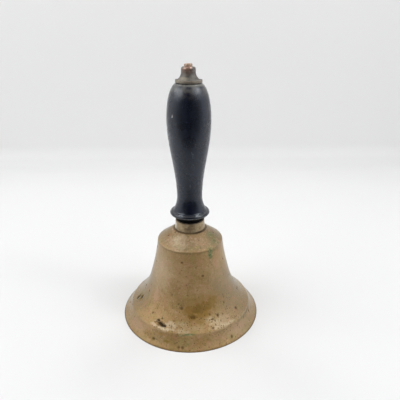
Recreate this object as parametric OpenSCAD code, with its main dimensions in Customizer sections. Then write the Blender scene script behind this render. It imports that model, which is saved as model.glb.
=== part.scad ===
// Hand-held sanctus bell: a cast brass bell on a turned, ebonised wood handle.
// A rod runs from the cap on top of the handle down through the crown, where its eye carries
// a ring and a swinging clapper. Millimetres, +Z up, origin on the floor under the bell's axis.

/* [Bell casting] */
// Outer diameter of the mouth
mouth_d = 115.2; // [108:0.2:122]
// Width of the flat rim that the bell stands on
rim_w = 4; // [3:0.5:5]
// Diameter of the ridge where the lip's bevel meets the flare
ridge_d = 99.8; // [95:0.2:104]
// Height of that ridge above the rim
ridge_h = 10.6; // [8:0.2:13]
// How far the lip's bevel hollows in from its chord
lip_bow = 0.9; // [0.3:0.1:1.4]
// Diameter where the flare runs out into the waist
flare_d = 66.4; // [62:0.2:70]
// Height where the flare runs out into the waist
flare_h = 35.2; // [31:0.2:40]
// How far the flare bows in from its chord
flare_bow = 2.6; // [1.5:0.1:4]
// How far the waist bows in from its chord
waist_bow = 0.7; // [0.3:0.1:1.2]
// Diameter of the shoulder edge
shoulder_d = 52.4; // [48:0.2:56]
// Height of the shoulder edge
shoulder_h = 68; // [63:0.2:70.4]
// Diameter of the flat seat on the crown
seat_d = 25.8; // [25.6:0.2:30]
// Height of the seat on the crown
crown_h = 77.3; // [75.9:0.2:83.9]
// Level width of the wall at the ridge, the sound bow
bow_wall = 5.6; // [4:0.2:7]
// Level width of the wall at the waist
waist_wall = 3.3; // [2.4:0.1:4.2]
// Upright thickness of the crown over the rod
crown_wall = 5.4; // [4.5:0.1:8]
// Upright thickness of the casting inside the shoulder edge
shoulder_wall = 4.5; // [3:0.5:6]
// Softness of the ridge and the shoulder edge
casting_edge = 0.8; // [0.3:0.1:1.2]
// Softness of the rim's two edges
rim_edge = 0.3; // [0.2:0.1:0.9]

/* [Ferrule] */
// Diameter of the ferrule's foot
ferrule_d = 24.3; // [23.6:0.1:25.4]
// Diameter of the ferrule's top
ferrule_top_d = 23; // [21.2:0.1:23.4]
// Height of the ferrule
ferrule_h = 7.3; // [5.1:0.2:8.9]
// Bore that takes the handle's tenon
ferrule_bore = 19.6; // [17:0.2:20]
// Softness of the ferrule's outer edges
ferrule_edge = 0.4; // [0.2:0.1:0.6]

/* [Handle] */
// Clearance round the tenon in the ferrule
tenon_fit = 0.1; // [0.05:0.05:0.3]
// Gap between the tenon's end and the crown
tenon_gap = 0.4; // [0.2:0.1:1]
// Diameter of the collar that stands on the ferrule
collar_d = 21.2; // [20.8:0.2:22.2]
// Height of that collar
collar_h = 4.2; // [1:0.2:5]
// Diameter of the bead's flat underside, where its round begins
bead_foot_d = 26.8; // [22.4:0.2:28]
// Diameter of the bead
bead_d = 31.3; // [28.4:0.1:32.4]
// Length of the bead along the handle
bead_h = 3.8; // [3:0.2:8]
// Diameter where the bead's top meets the cove of the neck
bead_top_d = 26.4; // [21.6:0.2:27.6]
// Diameter of the neck
neck_d = 19.8; // [17:0.1:21]
// Rise from the bead's top to the neck
neck_rise = 11.4; // [6:0.2:14]
// Diameter of the belly
belly_d = 33; // [29:0.1:36]
// Rise from the neck to the belly
belly_rise = 59.6; // [45:0.2:65]
// Diameter of the flat seat on top
top_d = 16.8; // [15:0.2:18.4]
// Rise from the belly to the top
dome_rise = 26; // [22:0.2:34]

/* [Finial cap] */
// Diameter of the flange
flange_d = 19.8; // [18:0.2:21]
// Thickness of the flange
flange_t = 2; // [1.4:0.1:3]
// Diameter of the cap's body where it leaves the flange
cap_foot_d = 16.4; // [13:0.2:16.8]
// Diameter of the cap's body
cap_d = 10.6; // [10:0.2:11.4]
// Height of the cap's flared foot
cap_flare_h = 5.1; // [2.5:0.1:6]
// Height of the cap's body above the flange
cap_h = 9.1; // [8:0.1:12]
// Roundness of the cap's shoulder
cap_round = 2.2; // [1:0.1:2.2]
// Softness of the flange's edges
flange_edge = 0.5; // [0.2:0.1:0.6]

/* [Rod] */
// Diameter of the rod
rod_d = 5; // [4:0.2:5.2]
// Clearance round the rod in the pieces that it draws together
rod_fit = 0.1; // [0.05:0.05:0.3]
// Clearance round the rod in the wood
wood_fit = 0.4; // [0.2:0.1:0.8]
// Diameter of the riveted end on top of the cap
rivet_d = 5.8; // [5.5:0.1:6]
// Height of the riveted end
rivet_h = 1.9; // [1.8:0.1:4]
// Softness of the riveted end's rim
rivet_edge = 1; // [0.3:0.1:1.2]
// Diameter of the rod's collar inside the crown
stop_d = 11; // [9:0.5:14]
// Thickness of the rod's collar
stop_t = 2.6; // [2:0.2:4]
// Diameter of the washer above the collar
washer_d = 20; // [15:0.5:22]
// Thickness of the washer
washer_t = 1.4; // [1:0.1:2]
// Diameter of the neck that joins the collar to the eye
shank_d = 6; // [5:0.2:6.6]
// Drop from the collar to the middle of the eye
eye_drop = 5.2; // [4.8:0.1:6.4]
// Diameter of the eye, at the middle of its bar
eye_d = 8.6; // [8.4:0.1:9.6]
// Thickness of the eye's bar
eye_bar = 3.2; // [2.6:0.1:3.4]

/* [Clapper] */
// Diameter of the ring, at the middle of its wire
ring_d = 12; // [11.4:0.2:14]
// Thickness of the ring's wire
ring_wire = 2.6; // [2.2:0.1:2.8]
// Width of the butt joint left in the bent ring
ring_joint = 0.5; // [0.3:0.1:1]
// Slack where one loop hangs in the next
loop_slack = 0.25; // [0.15:0.05:0.4]
// Diameter of the clapper's loop, at the middle of its wire
loop_d = 8.4; // [8.2:0.1:9.6]
// Thickness of the loop's wire
loop_wire = 2.8; // [2.4:0.1:3]
// Diameter of the stem below its loop
stem_d = 4; // [3.4:0.1:4.4]
// Diameter of the stem where it enters the ball
stem_foot_d = 4.8; // [4.4:0.1:5.2]
// Diameter of the stem's shoulder on the ball
shoulder_stop_d = 7; // [6.4:0.2:8]
// Height of the stem's shoulder
shoulder_stop_h = 2.4; // [1.6:0.2:4]
// Diameter of the ball
ball_d = 21; // [18:0.5:23]
// Diameter of the flats on the ball's top and bottom
ball_flat_d = 8.4; // [8:0.1:9]
// Clearance round the stem in the ball
ball_fit = 0.1; // [0.05:0.05:0.2]
// Diameter of the riveted end under the ball
ball_rivet_d = 7; // [6:0.2:8]
// Height of the riveted end under the ball
ball_rivet_h = 1.2; // [0.8:0.1:1.8]
// Gap between the hanging clapper and the floor
floor_gap = 2.4; // [1.5:0.1:5]

/* [Hidden] */
$fn = 96;

brass = "#9c7f57";
bright_brass = "#aa966c";
bronze = "#7d6b54";
ebony = "#1d1f26";
rod_bronze = "#85654a";
iron = "#57524c";

// Segments along a long curve, a short curve and a softened edge
long_n = 24;
short_n = 12;
edge_n = 5;

// Heights of the pieces that the rod draws together
ferrule_top = crown_h + ferrule_h;
bead_foot_h = ferrule_top + collar_h;
bead_top_h = bead_foot_h + bead_h;
neck_h = bead_top_h + neck_rise;
belly_h = neck_h + belly_rise;
handle_top = belly_h + dome_rise;
flange_top = handle_top + flange_t;
cap_top = flange_top + cap_h;
rod_hole = rod_d + 2 * rod_fit;

// Heights of the pieces that hang inside the bell, each loop resting in the one above it
crown_under = crown_h - crown_wall;
washer_under = crown_under - washer_t;
stop_under = washer_under - stop_t;
eye_h = stop_under - eye_drop;
eye_bar_h = eye_h - eye_d / 2;
ring_h = eye_bar_h + (eye_bar + ring_wire) / 2 + loop_slack - ring_d / 2;
ring_bar_h = ring_h - ring_d / 2;
loop_h = ring_bar_h + (ring_wire + loop_wire) / 2 + loop_slack - loop_d / 2;
loop_foot = loop_h - loop_d / 2;

// The ball stands on its rivet, and its flats lie this far above and below its middle
ball_flat = sqrt(pow(ball_d, 2) - pow(ball_flat_d, 2)) / 2;
ball_under = floor_gap + ball_rivet_h;
ball_h = ball_under + ball_flat;
ball_top = ball_h + ball_flat;

function unit(v) = v / norm(v);
function rev(list) = [for (i = [len(list) - 1:-1:0]) list[i]];
function head(list) = [for (i = [0:len(list) - 2]) list[i]];

// An arc from p to q that bows by sag to the right of the way from p to q
function bow(p, q, sag, n) =
    let (chord = norm(q - p))
    let (side = [q.y - p.y, p.x - q.x] / chord)
    let (r = (pow(chord / 2, 2) + pow(sag, 2)) / (2 * sag))
    [for (i = [0:n])
        let (t = i / n)
        p + (q - p) * t + side * (sqrt(pow(r, 2) - pow(chord * (t - 0.5), 2)) - r + sag)];

// Half an ellipse from p to q that swells by sag to the right of the way from p to q
function bead(p, q, sag, n) =
    let (side = [q.y - p.y, p.x - q.x] / norm(q - p))
    [for (i = [0:n]) p + (q - p) * (1 - cos(180 * i / n)) / 2 + side * sag * sin(180 * i / n)];

// The corner p between its neighbours a and b, softened from d before it to d after it
function soft(a, p, b, d) =
    let (u = p + d * unit(a - p))
    let (v = p + d * unit(b - p))
    [for (i = [0:edge_n])
        let (t = i / edge_n)
        pow(1 - t, 2) * u + 2 * t * (1 - t) * p + pow(t, 2) * v];

// A swell from p to q that starts and ends upright
function swell(p, q, n) =
    [for (i = [0:n]) [p.x + (q.x - p.x) * (1 - cos(180 * i / n)) / 2, p.y + (q.y - p.y) * i / n]];

// A quarter of an ellipse from p, where it is upright, to q, where it is level
function dome(p, q, n) =
    [for (i = [0:n]) [q.x + (p.x - q.x) * cos(90 * i / n), p.y + (q.y - p.y) * sin(90 * i / n)]];

// A cove from p down or up to q, upright at q
function cove(p, q, n) =
    [for (i = [0:n])
        let (t = i / n)
        [q.x + (p.x - q.x) * pow(1 - t, 2), p.y + (q.y - p.y) * t]];

module turned(profile) {
    rotate_extrude() polygon(profile);
}

// A closed loop of round bar that stands upright, with its axis along Y
module loop(d, bar) {
    rotate([90, 0, 0])
        rotate_extrude()
            translate([d / 2, 0]) circle(d = bar);
}

module bell() {
    hole = rod_hole / 2;
    seat = [seat_d / 2, crown_h];
    edge = [shoulder_d / 2, shoulder_h];
    run_out = [flare_d / 2, flare_h];
    ridge = [ridge_d / 2, ridge_h];
    rim = [mouth_d / 2, 0];
    rim_in = [mouth_d / 2 - rim_w, 0];
    ridge_in = [ridge_d / 2 - bow_wall, ridge_h];
    run_out_in = [flare_d / 2 - waist_wall, flare_h];
    edge_in = [shoulder_d / 2 - waist_wall, shoulder_h - shoulder_wall];
    seat_in = [seat_d / 2, crown_under];

    bevel = bow(ridge, rim, lip_bow, short_n);
    waist = bow(edge, run_out, waist_bow, short_n);
    flare = bow(run_out, ridge, flare_bow, long_n);
    waist_in = bow(edge_in, run_out_in, waist_bow, short_n);
    flare_in = bow(run_out_in, ridge_in, flare_bow, long_n);

    color(brass)
        turned(concat(
            [[hole, crown_under], [hole, crown_h], seat],
            soft(seat, edge, waist[1], casting_edge),
            [for (i = [1:short_n - 1]) waist[i]],
            head(flare),
            soft(flare[long_n - 1], ridge, bevel[1], casting_edge),
            [for (i = [1:short_n - 1]) bevel[i]],
            soft(bevel[short_n - 1], rim, rim_in, rim_edge),
            soft(rim, rim_in, ridge_in, rim_edge),
            rev(flare_in),
            rev(head(waist_in)),
            [seat_in]));
}

module ferrule() {
    foot = [ferrule_d / 2, crown_h];
    top = [ferrule_top_d / 2, ferrule_top];
    foot_in = [ferrule_bore / 2, crown_h];
    top_in = [ferrule_bore / 2, ferrule_top];

    color(bright_brass)
        turned(concat(
            [foot_in],
            soft(foot_in, foot, top, ferrule_edge),
            soft(foot, top, top_in, ferrule_edge),
            [top_in]));
}

module handle() {
    bore = rod_d / 2 + wood_fit;
    tenon = ferrule_bore / 2 - tenon_fit;
    tenon_h = crown_h + tenon_gap;
    bead_foot = [bead_foot_d / 2, bead_foot_h];
    bead_top = [bead_top_d / 2, bead_top_h];
    neck = [neck_d / 2, neck_h];
    belly = [belly_d / 2, belly_h];
    top = [top_d / 2, handle_top];
    bead_sag = bead_d / 2 - (bead_foot.x + bead_top.x) / 2;

    color(ebony)
        turned(concat(
            [[bore, tenon_h], [tenon, tenon_h], [tenon, ferrule_top]],
            [[collar_d / 2, ferrule_top], [collar_d / 2, bead_foot_h]],
            head(bead(bead_foot, bead_top, bead_sag, long_n)),
            head(cove(bead_top, neck, short_n)),
            head(swell(neck, belly, long_n)),
            dome(belly, top, long_n),
            [[bore, handle_top]]));
}

module finial_cap() {
    hole = rod_hole / 2;
    under = [flange_d / 2, handle_top];
    over = [flange_d / 2, flange_top];
    foot = [cap_foot_d / 2, flange_top];
    body = [cap_d / 2, flange_top + cap_flare_h];
    brow = [cap_d / 2, cap_top];
    top = [hole, cap_top];

    color(bronze)
        turned(concat(
            [[hole, handle_top]],
            soft([hole, handle_top], under, over, flange_edge),
            soft(under, over, foot, flange_edge),
            cove(foot, body, short_n),
            soft(body, brow, top, cap_round),
            [top]));
}

module tie_rod() {
    shaft = rod_d / 2;
    rivet = [rivet_d / 2, cap_top + rivet_h];

    color(rod_bronze) {
        turned(concat(
            [[0, stop_under], [stop_d / 2, stop_under], [stop_d / 2, washer_under]],
            [[shaft, washer_under], [shaft, cap_top], [rivet.x, cap_top]],
            soft([rivet.x, cap_top], rivet, [0, rivet.y], rivet_edge),
            [[0, rivet.y]]));
        translate([0, 0, eye_h + eye_d / 2])
            cylinder(d = shank_d, h = stop_under - eye_h - eye_d / 2);
        translate([0, 0, eye_h]) loop(eye_d, eye_bar);
    }
}

module crown_washer() {
    color(iron)
        translate([0, 0, washer_under])
            difference() {
                cylinder(d = washer_d, h = washer_t);
                translate([0, 0, -washer_t]) cylinder(d = rod_hole, h = 3 * washer_t);
            }
}

// A ring bent from wire in the YZ plane, with its butt joint half-way up one side
module clapper_ring() {
    joint_turn = ring_joint / (PI * ring_d) * 360;
    color(iron)
        translate([0, 0, ring_h])
            rotate([0, 90, 0])
                rotate([0, 0, 90 + joint_turn / 2])
                    rotate_extrude(angle = 360 - joint_turn)
                        translate([ring_d / 2, 0]) circle(d = ring_wire);
}

module clapper_stem() {
    shank = [stem_d / 2, loop_foot];
    shoulder = [shoulder_stop_d / 2, ball_top];
    rivet = [ball_rivet_d / 2, floor_gap];

    color(iron) {
        turned(concat(
            [[0, loop_foot], shank],
            [[stem_foot_d / 2, ball_top + shoulder_stop_h], shoulder],
            [[stem_foot_d / 2, ball_top], [stem_foot_d / 2, ball_under]],
            [[rivet.x, ball_under]],
            soft([rivet.x, ball_under], rivet, [0, rivet.y], ball_rivet_h / 2),
            [[0, rivet.y]]));
        translate([0, 0, loop_h]) loop(loop_d, loop_wire);
    }
}

module clapper_ball() {
    color(iron)
        difference() {
            translate([0, 0, ball_h])
                intersection() {
                    sphere(d = ball_d);
                    cube([ball_d, ball_d, 2 * ball_flat], center = true);
                }
            cylinder(d = stem_foot_d + 2 * ball_fit, h = ball_top + floor_gap);
        }
}

bell();
ferrule();
handle();
finial_cap();
tie_rod();
crown_washer();
clapper_ring();
clapper_stem();
clapper_ball();
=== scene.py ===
"""Looks of an old brass hand bell with an ebonised wood handle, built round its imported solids."""

import math

import bmesh
import bpy
import numpy as np
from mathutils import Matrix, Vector, noise


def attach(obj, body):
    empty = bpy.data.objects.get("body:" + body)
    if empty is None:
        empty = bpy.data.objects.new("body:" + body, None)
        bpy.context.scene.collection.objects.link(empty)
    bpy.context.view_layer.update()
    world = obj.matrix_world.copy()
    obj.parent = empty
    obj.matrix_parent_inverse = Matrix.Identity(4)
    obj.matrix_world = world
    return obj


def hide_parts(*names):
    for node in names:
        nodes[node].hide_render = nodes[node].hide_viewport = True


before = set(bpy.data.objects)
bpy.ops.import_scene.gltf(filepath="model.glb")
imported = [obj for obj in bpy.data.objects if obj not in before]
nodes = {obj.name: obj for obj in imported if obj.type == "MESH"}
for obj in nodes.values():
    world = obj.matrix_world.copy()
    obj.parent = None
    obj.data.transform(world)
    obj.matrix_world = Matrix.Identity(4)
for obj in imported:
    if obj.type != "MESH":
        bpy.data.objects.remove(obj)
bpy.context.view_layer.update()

MM = 0.001
SEED = 7


# Sizes of the solids, in millimetres; a pair is a radius and a height

HOLE_R = 2.6
CROWN_H = 77.3
CROWN_UNDER = 71.9
SEAT = (12.9, CROWN_H)
SHOULDER = (26.2, 68.0)
RUN_OUT = (33.2, 35.2)
RIDGE = (49.9, 10.6)
RIM = (57.6, 0.0)
RIM_IN = (53.6, 0.0)
RIDGE_IN = (44.3, 10.6)
RUN_OUT_IN = (29.9, 35.2)
SHOULDER_IN = (22.9, 63.5)
SEAT_IN = (12.9, CROWN_UNDER)
WAIST_BOW = 0.7
FLARE_BOW = 2.6
LIP_BOW = 0.9
CASTING_EDGE = 0.8
RIM_EDGE = 0.3

FERRULE_FOOT_R = 12.15
FERRULE_TOP_R = 11.5
FERRULE_BORE_R = 9.8
FERRULE_TOP = 84.6
FERRULE_EDGE = 0.4

HANDLE_BORE_R = 2.9
TENON_R = 9.7
TENON_H = 77.7
COLLAR_R = 10.6
BEAD_FOOT_H = 88.8
BEAD_FOOT = (13.4, BEAD_FOOT_H)
BEAD_TOP = (13.2, 92.6)
BEAD_SWELL = 2.35
NECK = (9.9, 104.0)
BELLY = (16.5, 163.6)
HANDLE_TOP = 189.6
TOP = (8.4, HANDLE_TOP)

FLANGE_R = 9.9
FLANGE_TOP = 191.6
FLANGE_EDGE = 0.5
CAP_FOOT_R = 8.2
CAP_R = 5.3
CAP_FLARE_TOP = 196.7
CAP_TOP = 200.7
CAP_ROUND = 2.2

ROD_R = 2.5
RIVET_R = 2.9
RIVET_TOP = 202.6
RIVET_EDGE = 1.0
STOP_R = 5.5
STOP_UNDER = 67.9
STOP_EDGE = 0.4
WASHER_UNDER = 70.5
SHANK_R = 3.0
EYE_H = 62.7
EYE_R = 4.3
EYE_BAR_R = 1.6

# Faces round each turned piece
BELL_SIDES = 420
HANDLE_SIDES = 180
FERRULE_SIDES = 200
CAP_SIDES = 144
ROD_SIDES = 72


# Curves of a turned profile, as points (radius, height)

def straight(p, q, step):
    n = max(1, round(math.dist(p, q) / step))
    return [tuple(np.array(p) + (np.array(q) - p) * i / n) for i in range(n + 1)]


def sideways(p, q):
    """The unit direction to the right of the way from p to q."""
    return np.array([q[1] - p[1], p[0] - q[0]]) / np.linalg.norm(q - p)


def bow(p, q, sag, step):
    """A shallow arc that stands sag proud of its chord."""
    p, q = np.array(p), np.array(q)
    chord = np.linalg.norm(q - p)
    r = ((chord / 2) ** 2 + sag ** 2) / (2 * sag)
    t = np.linspace(0, 1, max(4, round(chord / step)) + 1)[:, None]
    rise = np.sqrt(r * r - (chord * (t - 0.5)) ** 2) - r + sag
    return [tuple(v) for v in p + (q - p) * t + sideways(p, q) * rise]


def soft(a, p, b, d, n=5):
    """The corner p between a and b, rounded over the length d each way."""
    a, p, b = np.array(a), np.array(p), np.array(b)
    u = p + d * (a - p) / np.linalg.norm(a - p)
    v = p + d * (b - p) / np.linalg.norm(b - p)
    return [tuple((1 - t) ** 2 * u + 2 * t * (1 - t) * p + t * t * v) for t in np.linspace(0, 1, n + 1)]


def bead(p, q, sag, n):
    """Half an ellipse that stands sag proud of its chord."""
    p, q = np.array(p), np.array(q)
    side = sideways(p, q) * sag
    angles = np.linspace(0, math.pi, n + 1)
    return [tuple(p + (q - p) * (1 - math.cos(a)) / 2 + side * math.sin(a)) for a in angles]


def cove(p, q, n):
    """A hollow that ends upright at q."""
    steps = np.linspace(0, 1, n + 1)
    return [(q[0] + (p[0] - q[0]) * (1 - t) ** 2, p[1] + (q[1] - p[1]) * t) for t in steps]


def swell(p, q, n):
    """A double curve that is upright at both ends."""
    steps = np.linspace(0, 1, n + 1)
    shares = [(1 - math.cos(math.pi * t)) / 2 for t in steps]
    return [(p[0] + (q[0] - p[0]) * s, p[1] + (q[1] - p[1]) * t) for s, t in zip(shares, steps)]


def dome(p, q, n):
    """A quarter of an ellipse, upright at p and flat at q."""
    angles = np.linspace(0, math.pi / 2, n + 1)
    return [(q[0] + (p[0] - q[0]) * math.cos(a), p[1] + (q[1] - p[1]) * math.sin(a)) for a in angles]


def joined(*runs, gap=0.02):
    """One run of points, without those that lie within the gap where runs meet."""
    points = []
    for run in runs:
        for p in run:
            if not points or math.dist(points[-1], p) > gap:
                points.append((float(p[0]), float(p[1])))
    return np.array(points)


def blur_step(x, low, high):
    t = np.clip((x - low) / (high - low), 0, 1)
    return t * t * (3 - 2 * t)


def hump(x, half, power=2):
    """1 where x is 0, and falling softly to about a third at half."""
    return np.exp(-(x / half) ** power)


# A surface of revolution that can be dented and marked before it becomes a mesh

class Turning:
    """Rings of a profile: a closed one, or a solid's, from axis to axis.

    turn is 0 at the front and grows towards +X. run is the length along the profile.
    Lengths are in millimetres.
    """

    SPOT_CORE = 0.5
    SPOT_EDGE = 1.25
    MAP_MARGIN = 0.002

    def __init__(self, profile, sides, grain=None, solid=False):
        rows = len(profile)
        self.profile = profile
        self.solid = solid
        self.turn = np.tile(np.linspace(0, 2 * math.pi, sides, endpoint=False), (rows, 1))
        self.r = np.repeat(profile[:, :1], sides, 1)
        self.z = np.repeat(profile[:, 1:], sides, 1)
        steps = np.linalg.norm(np.diff(profile, axis=0), axis=1)
        self.run = np.repeat(np.concatenate([[0], np.cumsum(steps)])[:, None], sides, 1)
        x, y = profile[:, 0], profile[:, 1]
        self.facing = 1.0 if np.sum(x * np.roll(y, -1) - np.roll(x, -1) * y) > 0 else -1.0
        along = np.roll(profile, -1, 0) - np.roll(profile, 1, 0)
        along /= np.linalg.norm(along, axis=1)[:, None]
        self.out_r = np.repeat(along[:, 1:], sides, 1) * self.facing
        self.out_z = np.repeat(-along[:, :1], sides, 1) * self.facing
        self.lift = np.zeros((rows, sides))
        self.marks = {}
        self.grain = self.cloud(grain, 2) if grain else None

    def points(self):
        return np.stack([self.r * np.sin(self.turn), -self.r * np.cos(self.turn), self.z], -1)

    def cloud(self, size, octaves=3, shift=0.0):
        """Smooth noise of about -1 to 1, with grains of this size."""
        at = self.points() / size + shift
        flat = [noise.fractal(Vector(p), 1.0, 2.0, octaves) for p in at.reshape(-1, 3)]
        return np.array(flat).reshape(self.r.shape)

    def toward(self, turn, power=2):
        """1 on the side at this turn in degrees, and 0 from a quarter turn away from it."""
        return np.clip(np.cos(self.turn - math.radians(turn)), 0, 1) ** power

    def degrees_from(self, turn):
        return np.abs((np.degrees(self.turn) - turn + 180) % 360 - 180)

    def length_from(self, radius, height):
        return np.hypot(self.r - radius, self.z - height)

    def spot(self, turn, height, across, along, rough=0.0, side=(0, None)):
        """A mark of 1 in the middle and 0 outside, at this turn in degrees and this height.

        across and along are half sizes, and rough frays the edge. side limits the rows to search.
        """
        first, last = side
        row = first + int(np.abs(self.profile[first:last, 1] - height).argmin())
        away = (self.turn - math.radians(turn) + math.pi) % (2 * math.pi) - math.pi
        u = away * self.r / across
        v = (self.run - self.run[row, 0]) / along
        q = np.sqrt(u * u + v * v)
        if rough:
            q = q + rough * self.grain
        return blur_step(q, self.SPOT_EDGE, self.SPOT_CORE)

    def press(self, places, rough, keep, side=(0, None)):
        """Dents the surface at these places, and returns where it did; keep limits it to a part."""
        pressed = np.zeros_like(self.r)
        for *size, depth in places:
            dent = self.spot(*size, rough, side) * keep
            self.lift -= depth * dent
            pressed = np.maximum(pressed, dent)
        return pressed

    def mark(self, label, *three):
        """Three shares from 0 to 1 at each point, for the material to read."""
        self.marks[label] = np.stack(np.broadcast_arrays(*three), -1)

    def mesh(self, name, bend=None, second=None):
        """The finished piece. second says which faces take the second material."""
        place = self.points()
        place[..., 0] += self.lift * self.out_r * np.sin(self.turn)
        place[..., 1] -= self.lift * self.out_r * np.cos(self.turn)
        place[..., 2] += self.lift * self.out_z
        if bend is not None:
            place = bend(place)
        rows, sides = self.r.shape
        a = np.arange(rows * sides).reshape(rows, sides)
        b = np.roll(a, -1, 1)
        faces = np.stack([a, b, np.roll(b, -1, 0), np.roll(a, -1, 0)], -1)
        if self.facing < 0:
            faces = faces[..., ::-1]
        if self.solid:
            faces = faces[:-1]
        data = meshed(name, place, faces)
        for label, value in self.marks.items():
            layer = data.attributes.new(label, "FLOAT_COLOR", "POINT")
            four = np.concatenate([value.reshape(-1, 3), np.ones((rows * sides, 1))], 1)
            layer.data.foreach_set("color", np.clip(four, 0, 1).astype(np.float32).ravel())
        if second is not None:
            data.polygons.foreach_set("material_index", second.astype(np.int32).ravel())
        if self.solid:
            close_poles(data)
        else:
            self.unroll(data)
        data.shade_smooth()
        return placed(name, data)

    def unroll(self, data):
        """A map with the turn across and the run upwards, in one sheet."""
        rows, sides = self.r.shape
        total = self.run[-1, 0] + math.dist(self.profile[-1], self.profile[0])
        up = np.concatenate([self.run[:, 0], [total]]) / total
        i, j = np.meshgrid(np.arange(sides), np.arange(rows))
        corners = ((i, j), (i + 1, j), (i + 1, j + 1), (i, j + 1))
        sheet = np.stack([np.stack([across / sides, up[row]], -1) for across, row in corners], 2)
        if self.facing < 0:
            sheet = sheet[:, :, ::-1]
        layer = data.uv_layers.new(name="OFBake")
        sheet = self.MAP_MARGIN + (1 - 2 * self.MAP_MARGIN) * sheet
        layer.uv.foreach_set("vector", sheet.astype(np.float32).ravel())


def meshed(name, place, faces):
    """A mesh of four-sided faces, from a grid of points in millimetres."""
    data = bpy.data.meshes.new(name)
    data.from_pydata((place.reshape(-1, 3) * MM).tolist(), [], faces.reshape(-1, 4).tolist())
    return data


def placed(name, data):
    piece = bpy.data.objects.new(name, data)
    bpy.context.scene.collection.objects.link(piece)
    return piece


def close_poles(data):
    """Draws each ring that lies on the axis together into one point."""
    held = bmesh.new()
    held.from_mesh(data)
    bmesh.ops.remove_doubles(held, verts=held.verts, dist=1e-7)
    held.to_mesh(data)
    held.free()


# Materials

def srgb(r, g, b):
    def linear(c):
        c /= 255
        return c / 12.92 if c <= 0.04045 else ((c + 0.055) / 1.055) ** 2.4
    return (linear(r), linear(g), linear(b), 1.0)


class Nodes:
    """Short calls for the nodes of one tree. A value is a number, a tuple or a node's output."""

    def __init__(self, tree):
        self.tree = tree
        tree.nodes.clear()

    def add(self, kind, values=None, **settings):
        """A shader node with these settings, and values for its sockets by name or number."""
        made = self.tree.nodes.new("ShaderNode" + kind)
        for key, setting in settings.items():
            setattr(made, key, setting)
        for key, value in (values or {}).items():
            self.feed(made.inputs[key], value)
        return made

    def feed(self, socket, value):
        if hasattr(value, "is_output"):
            self.tree.links.new(value, socket)
        else:
            socket.default_value = value

    def range(self, value, low, high, to_low=0.0, to_high=1.0):
        """A soft step from to_low at low to to_high at high."""
        values = {"Value": value, "From Min": low, "From Max": high, "To Min": to_low, "To Max": to_high}
        return self.add("MapRange", values, interpolation_type="SMOOTHSTEP").outputs[0]

    def math(self, kind, a, b=0.0, clamp=True):
        """Sums and products stay between 0 and 1, unless clamp is off."""
        held = clamp and kind in ("ADD", "MULTIPLY")
        return self.add("Math", {0: a, 1: b}, operation=kind, use_clamp=held).outputs[0]

    def plus(self, a, b):
        return self.math("ADD", a, b)

    def times(self, a, b):
        return self.math("MULTIPLY", a, b)

    def most(self, a, b):
        return self.math("MAXIMUM", a, b)

    def blend(self, share, a, b):
        return self.add("Mix", {0: share, 2: a, 3: b}, data_type="FLOAT").outputs[0]


class Paint(Nodes):
    """A material of one shader, with calls for its patterns and colours."""

    def __init__(self, name):
        self.material = bpy.data.materials.new(name)
        self.material.use_nodes = True
        super().__init__(self.material.node_tree)
        self.out = self.add("OutputMaterial")
        self.bsdf = self.add("BsdfPrincipled")
        self.feed(self.out.inputs[0], self.bsdf.outputs[0])
        self.place = self.add("TexCoord").outputs["Object"]

    def set(self, **values):
        for key, value in values.items():
            self.feed(self.bsdf.inputs[key.replace("_", " ")], value)

    def height(self):
        return self.add("SeparateXYZ", {0: self.place}).outputs[2]

    def stretch(self, x, y, z):
        return self.add("Mapping", {"Vector": self.place, "Scale": (x, y, z)}).outputs[0]

    def noise(self, size, detail=3.0, rough=0.55, twist=0.0, place=None):
        """Noise with grains of this size in millimetres."""
        values = {
            "Vector": place or self.place, "Scale": 1 / (size * MM), "Detail": detail,
            "Roughness": rough, "Distortion": twist}
        return self.add("TexNoise", values).outputs["Fac"]

    def specks(self, size, small, share):
        """Round specks in a share of the cells; size is a cell in millimetres, small a part of it."""
        cell = self.add("TexVoronoi", {"Vector": self.place, "Scale": 1 / (size * MM)})
        near = self.range(cell.outputs["Distance"], small, small * 0.45)
        split = self.add("SeparateColor", {0: cell.outputs["Color"]})
        return self.times(near, self.math("LESS_THAN", split.outputs[0], share))

    def marks(self, label):
        """The three shares that the piece's points hold under this label."""
        made = self.add("Attribute", attribute_name=label)
        split = self.add("SeparateColor", {0: made.outputs["Color"]})
        return split.outputs[0], split.outputs[1], split.outputs[2]

    def ramp(self, value, *stops):
        """Colours from one to the next as the value passes each stop."""
        made = self.add("ValToRGB", {0: value})
        held = made.color_ramp.elements
        while len(held) < len(stops):
            held.new(0.5)
        for element, (at, colour) in zip(held, stops):
            element.position = at
            element.color = srgb(*colour)
        return made.outputs[0]

    def coats(self, tone, *laid):
        """Colours laid over a tone in turn, each with the share that it covers, or two to multiply."""
        for share, colour in laid:
            part = self.times(*share) if isinstance(share, tuple) else share
            over = srgb(*colour) if isinstance(colour, tuple) else colour
            tone = self.add("Mix", {0: part, 6: tone, 7: over}, data_type="RGBA").outputs[2]
        return tone

    def relief(self, *layers):
        """Bumps laid over one another: pairs of a height and its depth in millimetres."""
        under = None
        for height, depth in layers:
            made = self.add("Bump", {"Strength": 1.0, "Distance": depth * MM, "Height": height})
            if under is not None:
                self.feed(made.inputs["Normal"], under)
            under = made.outputs[0]
        return under


def wear(piece, *paints):
    # Clearing sets every face to the first material, so an empty list is left alone
    if piece.data.materials:
        piece.data.materials.clear()
    for paint in paints:
        piece.data.materials.append(paint.material)


# Camera, at the photograph's viewing angle, in metres, degrees and millimetres

CAMERA_AT = (0.0, -0.2934, 0.2177)
CAMERA_DOWN = 21.807
CAMERA_RIGHT = 1.583
LENS = 36.0

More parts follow.
